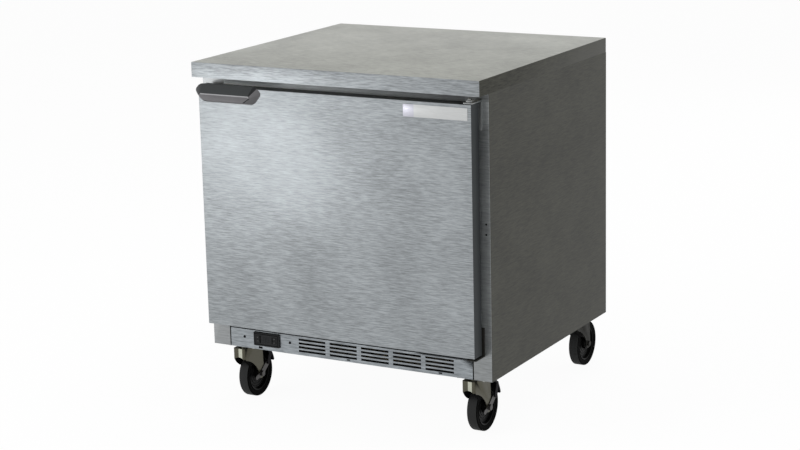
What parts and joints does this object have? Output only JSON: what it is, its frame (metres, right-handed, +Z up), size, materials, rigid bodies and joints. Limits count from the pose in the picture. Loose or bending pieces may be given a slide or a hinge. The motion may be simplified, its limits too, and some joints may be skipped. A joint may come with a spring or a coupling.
{
  "type": "undercounter refrigerator",
  "caption": "Stainless undercounter refrigerator with a flat worktop, one side-hinged door with a hooded pull, a slotted front grille with a controller, and swivel casters.",
  "frame": {"origin": "on the floor, at the centre of the object's bounding box", "axes": "+Z up, the door faces -Y, +X is the side that carries the door's hinge"},
  "size_m": [0.8128, 0.8292, 0.907],
  "materials": {
    "black_plastic": "fine grained moulding",
    "black_rubber": "soft extrusion",
    "bracket_steel": "bright plated",
    "brushed_steel": "horizontally brushed stainless steel",
    "coated_wire": "epoxy coated wire",
    "coil_aluminium": "bare fins",
    "compressor_black": "black enamel",
    "copper": "bare copper",
    "display_window": "smoked window",
    "fan_plastic": "moulded",
    "foam": "rigid polyurethane foam",
    "grey_plastic": "extruded vinyl",
    "key_plastic": "satin",
    "liner_aluminium": "satin sheet",
    "motor_grey": "satin",
    "plate_silver": "satin, left bare",
    "screw_steel": "dark plated",
    "spring_steel": "oiled",
    "tread_rubber": "moulded tread",
    "wheel_plastic": "moulded",
    "white_plastic": "vacuum formed sheet",
    "zinc_plate": "yellowish zinc plating",
    "zinc_sheet": "galvanised sheet"
  },
  "bodies": {
    "root": {"back_panel": "zinc_sheet", "base_pan": "zinc_sheet", "breaker_strip": "grey_plastic", "caster_plates": "zinc_plate", "compressor": "compressor_black", "condensate_pan": "black_plastic", "condenser_coil": "coil_aluminium", "condenser_motor": "motor_grey", "condenser_shroud": "zinc_sheet", "controller_case": "black_plastic", "controller_display": "display_window", "electrical_box": "zinc_sheet", "evaporator_coil": "coil_aluminium", "evaporator_cover": "liner_aluminium", "evaporator_motor": "motor_grey", "foam_body": "foam", "front_rails": "brushed_steel", "grille": "brushed_steel", "hinge_brackets": "bracket_steel", "inner_liner": "liner_aluminium", "panel_screws": "screw_steel", "pilasters": "liner_aluminium", "rear_cover": "zinc_sheet", "refrigerant_lines": "copper", "shelf_clips": "zinc_plate", "side_panel_left": "brushed_steel", "side_panel_right": "brushed_steel", "worktop": "brushed_steel", "worktop_core": "foam"},
    "door": {"door_skin": "brushed_steel", "door_foam": "foam", "door_liner": "white_plastic", "door_gasket": "black_rubber", "door_handle": "black_plastic", "door_plate": "plate_silver", "hinge_bushes": "black_plastic", "closer_torsion_bar": "spring_steel"},
    "upper_shelf": {"shelf_upper": "coated_wire"},
    "lower_shelf": {"shelf_lower": "coated_wire"},
    "evaporator_fan": {"evaporator_fan": "fan_plastic"},
    "condenser_fan": {"condenser_fan": "fan_plastic"},
    "key_up": {"key_up": "key_plastic"},
    "key_down": {"key_down": "key_plastic"},
    "key_set": {"key_set": "key_plastic"},
    "key_power": {"key_power": "key_plastic"},
    "swivel_front_left": {"caster_fork_front_left": "zinc_plate"},
    "wheel_front_left": {"caster_tyre_front_left": "tread_rubber", "caster_core_front_left": "wheel_plastic"},
    "brake_front_left": {"brake_pedal_front_left": "black_plastic"},
    "swivel_front_right": {"caster_fork_front_right": "zinc_plate"},
    "wheel_front_right": {"caster_tyre_front_right": "tread_rubber", "caster_core_front_right": "wheel_plastic"},
    "brake_front_right": {"brake_pedal_front_right": "black_plastic"},
    "swivel_rear_left": {"caster_fork_rear_left": "zinc_plate"},
    "wheel_rear_left": {"caster_tyre_rear_left": "tread_rubber", "caster_core_rear_left": "wheel_plastic"},
    "swivel_rear_right": {"caster_fork_rear_right": "zinc_plate"},
    "wheel_rear_right": {"caster_tyre_rear_right": "tread_rubber", "caster_core_rear_right": "wheel_plastic"}
  },
  "joints": [
    {"name": "door_hinge", "type": "hinge", "parent": "root", "child": "door", "pos_m": [0.371, -0.37225, 0.5377], "axis": [0, 0, 1], "range_deg": [0, 120], "stiffness_Nm_per_rad": 1},
    {"name": "upper_shelf_lift", "type": "slide", "parent": "root", "child": "upper_shelf", "axis": [0, 0, 1], "range_m": [0, 0.04]},
    {"name": "lower_shelf_lift", "type": "slide", "parent": "root", "child": "lower_shelf", "axis": [0, 0, 1], "range_m": [0, 0.04]},
    {"name": "evaporator_fan_spin", "type": "hinge", "parent": "root", "child": "evaporator_fan", "pos_m": [0, 0.19865, 0.7211], "axis": [0, 1, 0], "continuous": true},
    {"name": "condenser_fan_spin", "type": "hinge", "parent": "root", "child": "condenser_fan", "pos_m": [-0.155, 0.15645, 0.2275], "axis": [0, 1, 0], "continuous": true},
    {"name": "key_up_press", "type": "slide", "parent": "root", "child": "key_up", "axis": [0, 1, 0], "range_m": [0, 0.0006], "stiffness_N_per_m": 800},
    {"name": "key_down_press", "type": "slide", "parent": "root", "child": "key_down", "axis": [0, 1, 0], "range_m": [0, 0.0006], "stiffness_N_per_m": 800},
    {"name": "key_set_press", "type": "slide", "parent": "root", "child": "key_set", "axis": [0, 1, 0], "range_m": [0, 0.0006], "stiffness_N_per_m": 800},
    {"name": "key_power_press", "type": "slide", "parent": "root", "child": "key_power", "axis": [0, 1, 0], "range_m": [0, 0.0006], "stiffness_N_per_m": 800},
    {"name": "swivel_front_left_turn", "type": "hinge", "parent": "root", "child": "swivel_front_left", "pos_m": [-0.336, -0.29255, 0.1467], "axis": [0, 0, 1], "continuous": true},
    {"name": "wheel_front_left_roll", "type": "hinge", "parent": "swivel_front_left", "child": "wheel_front_left", "pos_m": [-0.336, -0.25605, 0.061], "axis": [1, 0, 0], "continuous": true},
    {"name": "brake_front_left_press", "type": "hinge", "parent": "swivel_front_left", "child": "brake_front_left", "pos_m": [-0.336, -0.22355, 0.086], "axis": [1, 0, 0], "range_deg": [0, 7]},
    {"name": "swivel_front_right_turn", "type": "hinge", "parent": "root", "child": "swivel_front_right", "pos_m": [0.336, -0.29255, 0.1467], "axis": [0, 0, 1], "continuous": true},
    {"name": "wheel_front_right_roll", "type": "hinge", "parent": "swivel_front_right", "child": "wheel_front_right", "pos_m": [0.336, -0.25605, 0.061], "axis": [1, 0, 0], "continuous": true},
    {"name": "brake_front_right_press", "type": "hinge", "parent": "swivel_front_right", "child": "brake_front_right", "pos_m": [0.336, -0.22355, 0.086], "axis": [1, 0, 0], "range_deg": [0, 7]},
    {"name": "swivel_rear_left_turn", "type": "hinge", "parent": "root", "child": "swivel_rear_left", "pos_m": [-0.336, 0.31705, 0.1467], "axis": [0, 0, 1], "continuous": true},
    {"name": "wheel_rear_left_roll", "type": "hinge", "parent": "swivel_rear_left", "child": "wheel_rear_left", "pos_m": [-0.336, 0.35355, 0.061], "axis": [1, 0, 0], "continuous": true},
    {"name": "swivel_rear_right_turn", "type": "hinge", "parent": "root", "child": "swivel_rear_right", "pos_m": [0.336, 0.31705, 0.1467], "axis": [0, 0, 1], "continuous": true},
    {"name": "wheel_rear_right_roll", "type": "hinge", "parent": "swivel_rear_right", "child": "wheel_rear_right", "pos_m": [0.336, 0.35355, 0.061], "axis": [1, 0, 0], "continuous": true}
  ]
}
